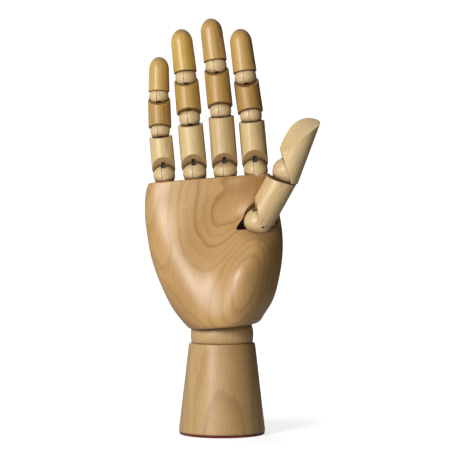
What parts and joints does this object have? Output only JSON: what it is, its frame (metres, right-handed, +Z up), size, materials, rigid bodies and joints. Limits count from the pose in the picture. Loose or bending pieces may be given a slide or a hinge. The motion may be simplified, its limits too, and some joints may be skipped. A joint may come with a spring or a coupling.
{
  "type": "wooden hand mannequin",
  "caption": "Jointed wooden right hand on a turned cone base, for drawing and display: ball joints at wrist, knuckles, fingers and thumb let it be posed.",
  "frame": {"origin": "centre of the underside of the felt disc under the base", "axes": "+Z up along the base, palm faces -Y, thumb points to +X"},
  "size_m": [0.1273, 0.0716, 0.3045],
  "materials": {
    "base_cone": "close-grained hardwood, sanded, clear satin lacquer",
    "base_felt": "dense red wool felt",
    "wrist_eye_rod": "drawn wire and stamped strip, lightly oiled",
    "wrist_washer": "drawn wire and stamped strip, lightly oiled",
    "wrist_nut": "drawn wire and stamped strip, lightly oiled",
    "wrist_spring": "drawn wire and stamped strip, lightly oiled",
    "palm_eye_screw": "drawn wire and stamped strip, lightly oiled",
    "wrist_ball": "pale close-grained hardwood under thin satin lacquer",
    "palm": "close-grained hardwood, sanded, clear satin lacquer",
    "little_finger_proximal": "close-grained hardwood, sanded, clear satin lacquer",
    "little_finger_middle": "close-grained hardwood, sanded, clear satin lacquer",
    "little_finger_tip": "close-grained hardwood, sanded, clear satin lacquer",
    "little_finger_knuckle_ball": "pale close-grained hardwood under thin satin lacquer",
    "little_finger_middle_ball": "pale close-grained hardwood under thin satin lacquer",
    "little_finger_tip_ball": "pale close-grained hardwood under thin satin lacquer",
    "little_finger_knuckle_link": "drawn wire and stamped strip, lightly oiled",
    "little_finger_proximal_links": "drawn wire and stamped strip, lightly oiled",
    "little_finger_middle_links": "drawn wire and stamped strip, lightly oiled",
    "little_finger_tip_link": "drawn wire and stamped strip, lightly oiled",
    "ring_finger_proximal": "close-grained hardwood, sanded, clear satin lacquer",
    "ring_finger_middle": "close-grained hardwood, sanded, clear satin lacquer",
    "ring_finger_tip": "close-grained hardwood, sanded, clear satin lacquer",
    "ring_finger_knuckle_ball": "pale close-grained hardwood under thin satin lacquer",
    "ring_finger_middle_ball": "pale close-grained hardwood under thin satin lacquer",
    "ring_finger_tip_ball": "pale close-grained hardwood under thin satin lacquer",
    "ring_finger_knuckle_link": "drawn wire and stamped strip, lightly oiled",
    "ring_finger_proximal_links": "drawn wire and stamped strip, lightly oiled",
    "ring_finger_middle_links": "drawn wire and stamped strip, lightly oiled",
    "ring_finger_tip_link": "drawn wire and stamped strip, lightly oiled",
    "middle_finger_proximal": "close-grained hardwood, sanded, clear satin lacquer",
    "middle_finger_middle": "close-grained hardwood, sanded, clear satin lacquer",
    "middle_finger_tip": "close-grained hardwood, sanded, clear satin lacquer",
    "middle_finger_knuckle_ball": "pale close-grained hardwood under thin satin lacquer",
    "middle_finger_middle_ball": "pale close-grained hardwood under thin satin lacquer",
    "middle_finger_tip_ball": "pale close-grained hardwood under thin satin lacquer",
    "middle_finger_knuckle_link": "drawn wire and stamped strip, lightly oiled",
    "middle_finger_proximal_links": "drawn wire and stamped strip, lightly oiled",
    "middle_finger_middle_links": "drawn wire and stamped strip, lightly oiled",
    "middle_finger_tip_link": "drawn wire and stamped strip, lightly oiled",
    "index_finger_proximal": "close-grained hardwood, sanded, clear satin lacquer",
    "index_finger_middle": "close-grained hardwood, sanded, clear satin lacquer",
    "index_finger_tip": "close-grained hardwood, sanded, clear satin lacquer",
    "index_finger_knuckle_ball": "pale close-grained hardwood under thin satin lacquer",
    "index_finger_middle_ball": "pale close-grained hardwood under thin satin lacquer",
    "index_finger_tip_ball": "pale close-grained hardwood under thin satin lacquer",
    "index_finger_knuckle_link": "drawn wire and stamped strip, lightly oiled",
    "index_finger_proximal_links": "drawn wire and stamped strip, lightly oiled",
    "index_finger_middle_links": "drawn wire and stamped strip, lightly oiled",
    "index_finger_tip_link": "drawn wire and stamped strip, lightly oiled",
    "thumb_proximal": "close-grained hardwood, sanded, clear satin lacquer",
    "thumb_tip": "close-grained hardwood, sanded, clear satin lacquer",
    "thumb_base_ball": "pale close-grained hardwood under thin satin lacquer",
    "thumb_tip_ball": "pale close-grained hardwood under thin satin lacquer",
    "thumb_base_link": "drawn wire and stamped strip, lightly oiled",
    "thumb_proximal_links": "drawn wire and stamped strip, lightly oiled",
    "thumb_tip_link": "drawn wire and stamped strip, lightly oiled"
  },
  "bodies": {
    "base": {"base_cone": "base_cone", "base_felt": "base_felt"},
    "wrist_rod": {"wrist_eye_rod": "wrist_eye_rod", "wrist_washer": "wrist_washer", "wrist_nut": "wrist_nut", "wrist_spring": "wrist_spring"},
    "wrist_ball": {"wrist_ball": "wrist_ball"},
    "palm": {"palm": "palm", "palm_eye_screw": "palm_eye_screw"},
    "little_knuckle_link": {"little_finger_knuckle_link": "little_finger_knuckle_link"},
    "little_knuckle_ball": {"little_finger_knuckle_ball": "little_finger_knuckle_ball"},
    "little_proximal": {"little_finger_proximal": "little_finger_proximal", "little_finger_proximal_links": "little_finger_proximal_links"},
    "little_middle_ball": {"little_finger_middle_ball": "little_finger_middle_ball"},
    "little_middle": {"little_finger_middle": "little_finger_middle", "little_finger_middle_links": "little_finger_middle_links"},
    "little_tip_ball": {"little_finger_tip_ball": "little_finger_tip_ball"},
    "little_tip": {"little_finger_tip": "little_finger_tip", "little_finger_tip_link": "little_finger_tip_link"},
    "ring_knuckle_link": {"ring_finger_knuckle_link": "ring_finger_knuckle_link"},
    "ring_knuckle_ball": {"ring_finger_knuckle_ball": "ring_finger_knuckle_ball"},
    "ring_proximal": {"ring_finger_proximal": "ring_finger_proximal", "ring_finger_proximal_links": "ring_finger_proximal_links"},
    "ring_middle_ball": {"ring_finger_middle_ball": "ring_finger_middle_ball"},
    "ring_middle": {"ring_finger_middle": "ring_finger_middle", "ring_finger_middle_links": "ring_finger_middle_links"},
    "ring_tip_ball": {"ring_finger_tip_ball": "ring_finger_tip_ball"},
    "ring_tip": {"ring_finger_tip": "ring_finger_tip", "ring_finger_tip_link": "ring_finger_tip_link"},
    "middle_knuckle_link": {"middle_finger_knuckle_link": "middle_finger_knuckle_link"},
    "middle_knuckle_ball": {"middle_finger_knuckle_ball": "middle_finger_knuckle_ball"},
    "middle_proximal": {"middle_finger_proximal": "middle_finger_proximal", "middle_finger_proximal_links": "middle_finger_proximal_links"},
    "middle_middle_ball": {"middle_finger_middle_ball": "middle_finger_middle_ball"},
    "middle_middle": {"middle_finger_middle": "middle_finger_middle", "middle_finger_middle_links": "middle_finger_middle_links"},
    "middle_tip_ball": {"middle_finger_tip_ball": "middle_finger_tip_ball"},
    "middle_tip": {"middle_finger_tip": "middle_finger_tip", "middle_finger_tip_link": "middle_finger_tip_link"},
    "index_knuckle_link": {"index_finger_knuckle_link": "index_finger_knuckle_link"},
    "index_knuckle_ball": {"index_finger_knuckle_ball": "index_finger_knuckle_ball"},
    "index_proximal": {"index_finger_proximal": "index_finger_proximal", "index_finger_proximal_links": "index_finger_proximal_links"},
    "index_middle_ball": {"index_finger_middle_ball": "index_finger_middle_ball"},
    "index_middle": {"index_finger_middle": "index_finger_middle", "index_finger_middle_links": "index_finger_middle_links"},
    "index_tip_ball": {"index_finger_tip_ball": "index_finger_tip_ball"},
    "index_tip": {"index_finger_tip": "index_finger_tip", "index_finger_tip_link": "index_finger_tip_link"},
    "thumb_link": {"thumb_base_link": "thumb_base_link"},
    "thumb_base_ball": {"thumb_base_ball": "thumb_base_ball"},
    "thumb_proximal": {"thumb_proximal": "thumb_proximal", "thumb_proximal_links": "thumb_proximal_links"},
    "thumb_tip_ball": {"thumb_tip_ball": "thumb_tip_ball"},
    "thumb_tip": {"thumb_tip": "thumb_tip", "thumb_tip_link": "thumb_tip_link"}
  },
  "joints": [
    {"name": "wrist_twist", "type": "hinge", "parent": "base", "child": "wrist_rod", "pos_m": [0, 0, 0.0725], "axis": [0, 0, 1], "continuous": true},
    {"name": "wrist_flex", "type": "hinge", "parent": "wrist_rod", "child": "wrist_ball", "pos_m": [0, 0, 0.0725], "axis": [1, 0, 0], "range_deg": [-15, 15]},
    {"name": "wrist_lean", "type": "hinge", "parent": "wrist_ball", "child": "palm", "pos_m": [0, 0, 0.0725], "axis": [0, 1, 0], "range_deg": [-10.5, 19.5]},
    {"name": "little_spread", "type": "hinge", "parent": "palm", "child": "little_knuckle_link", "pos_m": [-0.04229, 0, 0.18924], "axis": [0, -1, 0], "range_deg": [-1, 8]},
    {"name": "little_knuckle", "type": "hinge", "parent": "little_knuckle_link", "child": "little_proximal", "pos_m": [-0.04229, 0, 0.18924], "axis": [0.9956, 0, 0.0941], "range_deg": [0, 70]},
    {"name": "little_knuckle_ball_turn", "type": "hinge", "parent": "little_knuckle_link", "child": "little_knuckle_ball", "pos_m": [-0.04229, 0, 0.18924], "axis": [0.9956, 0, 0.0941], "range_deg": [0, 35]},
    {"name": "little_middle_joint", "type": "hinge", "parent": "little_proximal", "child": "little_middle", "pos_m": [-0.04539, 0, 0.222], "axis": [0.9956, 0, 0.0941], "range_deg": [0, 60]},
    {"name": "little_middle_ball_turn", "type": "hinge", "parent": "little_proximal", "child": "little_middle_ball", "pos_m": [-0.04539, 0, 0.222], "axis": [0.9956, 0, 0.0941], "range_deg": [0, 30]},
    {"name": "little_tip_joint", "type": "hinge", "parent": "little_middle", "child": "little_tip", "pos_m": [-0.04628, 0, 0.24758], "axis": [0.9994, 0, 0.0349], "range_deg": [0, 60]},
    {"name": "little_tip_ball_turn", "type": "hinge", "parent": "little_middle", "child": "little_tip_ball", "pos_m": [-0.04628, 0, 0.24758], "axis": [0.9994, 0, 0.0349], "range_deg": [0, 30]},
    {"name": "ring_spread", "type": "hinge", "parent": "palm", "child": "ring_knuckle_link", "pos_m": [-0.01994, 0, 0.1908], "axis": [0, -1, 0], "range_deg": [-1, 1.5]},
    {"name": "ring_knuckle", "type": "hinge", "parent": "ring_knuckle_link", "child": "ring_proximal", "pos_m": [-0.01994, 0, 0.1908], "axis": [0.9956, 0, 0.0941], "range_deg": [0, 70]},
    {"name": "ring_knuckle_ball_turn", "type": "hinge", "parent": "ring_knuckle_link", "child": "ring_knuckle_ball", "pos_m": [-0.01994, 0, 0.1908], "axis": [0.9956, 0, 0.0941], "range_deg": [0, 35]},
    {"name": "ring_middle_joint", "type": "hinge", "parent": "ring_proximal", "child": "ring_middle", "pos_m": [-0.02378, 0, 0.23142], "axis": [0.9956, 0, 0.0941], "range_deg": [0, 60]},
    {"name": "ring_middle_ball_turn", "type": "hinge", "parent": "ring_proximal", "child": "ring_middle_ball", "pos_m": [-0.02378, 0, 0.23142], "axis": [0.9956, 0, 0.0941], "range_deg": [0, 30]},
    {"name": "ring_tip_joint", "type": "hinge", "parent": "ring_middle", "child": "ring_tip", "pos_m": [-0.0265, 0, 0.2613], "axis": [0.9959, 0, 0.0906], "range_deg": [0, 60]},
    {"name": "ring_tip_ball_turn", "type": "hinge", "parent": "ring_middle", "child": "ring_tip_ball", "pos_m": [-0.0265, 0, 0.2613], "axis": [0.9959, 0, 0.0906], "range_deg": [0, 30]},
    {"name": "middle_spread", "type": "hinge", "parent": "palm", "child": "middle_knuckle_link", "pos_m": [0.00242, 0, 0.19216], "axis": [0, 1, 0], "range_deg": [-1, 1.5]},
    {"name": "middle_knuckle", "type": "hinge", "parent": "middle_knuckle_link", "child": "middle_proximal", "pos_m": [0.00242, 0, 0.19216], "axis": [0.9971, 0, 0.0767], "range_deg": [0, 70]},
    {"name": "middle_knuckle_ball_turn", "type": "hinge", "parent": "middle_knuckle_link", "child": "middle_knuckle_ball", "pos_m": [0.00242, 0, 0.19216], "axis": [0.9971, 0, 0.0767], "range_deg": [0, 35]},
    {"name": "middle_middle_joint", "type": "hinge", "parent": "middle_proximal", "child": "middle_middle", "pos_m": [-0.00101, 0, 0.23673], "axis": [0.9971, 0, 0.0767], "range_deg": [0, 60]},
    {"name": "middle_middle_ball_turn", "type": "hinge", "parent": "middle_proximal", "child": "middle_middle_ball", "pos_m": [-0.00101, 0, 0.23673], "axis": [0.9971, 0, 0.0767], "range_deg": [0, 30]},
    {"name": "middle_tip_joint", "type": "hinge", "parent": "middle_middle", "child": "middle_tip", "pos_m": [-0.00447, 0, 0.26965], "axis": [0.9945, 0, 0.1045], "range_deg": [0, 60]},
    {"name": "middle_tip_ball_turn", "type": "hinge", "parent": "middle_middle", "child": "middle_tip_ball", "pos_m": [-0.00447, 0, 0.26965], "axis": [0.9945, 0, 0.1045], "range_deg": [0, 30]},
    {"name": "index_spread", "type": "hinge", "parent": "palm", "child": "index_knuckle_link", "pos_m": [0.02481, 0, 0.19312], "axis": [0, 1, 0], "range_deg": [-1, 8]},
    {"name": "index_knuckle", "type": "hinge", "parent": "index_knuckle_link", "child": "index_proximal", "pos_m": [0.02481, 0, 0.19312], "axis": [0.996, 0, 0.0889], "range_deg": [0, 70]},
    {"name": "index_knuckle_ball_turn", "type": "hinge", "parent": "index_knuckle_link", "child": "index_knuckle_ball", "pos_m": [0.02481, 0, 0.19312], "axis": [0.996, 0, 0.0889], "range_deg": [0, 35]},
    {"name": "index_middle_joint", "type": "hinge", "parent": "index_proximal", "child": "index_middle", "pos_m": [0.02125, 0, 0.23306], "axis": [0.996, 0, 0.0889], "range_deg": [0, 60]},
    {"name": "index_middle_ball_turn", "type": "hinge", "parent": "index_proximal", "child": "index_middle_ball", "pos_m": [0.02125, 0, 0.23306], "axis": [0.996, 0, 0.0889], "range_deg": [0, 30]},
    {"name": "index_tip_joint", "type": "hinge", "parent": "index_middle", "child": "index_tip", "pos_m": [0.01725, 0, 0.26148], "axis": [0.9903, 0, 0.1392], "range_deg": [0, 60]},
    {"name": "index_tip_ball_turn", "type": "hinge", "parent": "index_middle", "child": "index_tip_ball", "pos_m": [0.01725, 0, 0.26148], "axis": [0.9903, 0, 0.1392], "range_deg": [0, 30]},
    {"name": "thumb_swing", "type": "hinge", "parent": "palm", "child": "thumb_link", "pos_m": [0.02621, -0.0165, 0.15491], "axis": [0.0785, 0, -0.9969], "range_deg": [0, 20]},
    {"name": "thumb_base_joint", "type": "hinge", "parent": "thumb_link", "child": "thumb_proximal", "pos_m": [0.02621, -0.0165, 0.15491], "axis": [-0.3454, 0.8707, 0.3501], "range_deg": [-45, 0]},
    {"name": "thumb_base_ball_turn", "type": "hinge", "parent": "thumb_link", "child": "thumb_base_ball", "pos_m": [0.02621, -0.0165, 0.15491], "axis": [-0.3454, 0.8707, 0.3501], "range_deg": [-22.5, 0]},
    {"name": "thumb_tip_joint", "type": "hinge", "parent": "thumb_proximal", "child": "thumb_tip", "pos_m": [0.04663, -0.02315, 0.19159], "axis": [-0.3454, 0.8707, 0.3501], "range_deg": [-55, 0]},
    {"name": "thumb_tip_ball_turn", "type": "hinge", "parent": "thumb_proximal", "child": "thumb_tip_ball", "pos_m": [0.04663, -0.02315, 0.19159], "axis": [-0.3454, 0.8707, 0.3501], "range_deg": [-27.5, 0]}
  ],
  "couplings": [
    {"joint": "little_knuckle_ball_turn", "follows": "little_knuckle", "ratio": 0.5},
    {"joint": "little_middle_ball_turn", "follows": "little_middle_joint", "ratio": 0.5},
    {"joint": "little_tip_ball_turn", "follows": "little_tip_joint", "ratio": 0.5},
    {"joint": "ring_knuckle_ball_turn", "follows": "ring_knuckle", "ratio": 0.5},
    {"joint": "ring_middle_ball_turn", "follows": "ring_middle_joint", "ratio": 0.5},
    {"joint": "ring_tip_ball_turn", "follows": "ring_tip_joint", "ratio": 0.5},
    {"joint": "middle_knuckle_ball_turn", "follows": "middle_knuckle", "ratio": 0.5},
    {"joint": "middle_middle_ball_turn", "follows": "middle_middle_joint", "ratio": 0.5},
    {"joint": "middle_tip_ball_turn", "follows": "middle_tip_joint", "ratio": 0.5},
    {"joint": "index_knuckle_ball_turn", "follows": "index_knuckle", "ratio": 0.5},
    {"joint": "index_middle_ball_turn", "follows": "index_middle_joint", "ratio": 0.5},
    {"joint": "index_tip_ball_turn", "follows": "index_tip_joint", "ratio": 0.5},
    {"joint": "thumb_base_ball_turn", "follows": "thumb_base_joint", "ratio": 0.5},
    {"joint": "thumb_tip_ball_turn", "follows": "thumb_tip_joint", "ratio": 0.5}
  ]
}
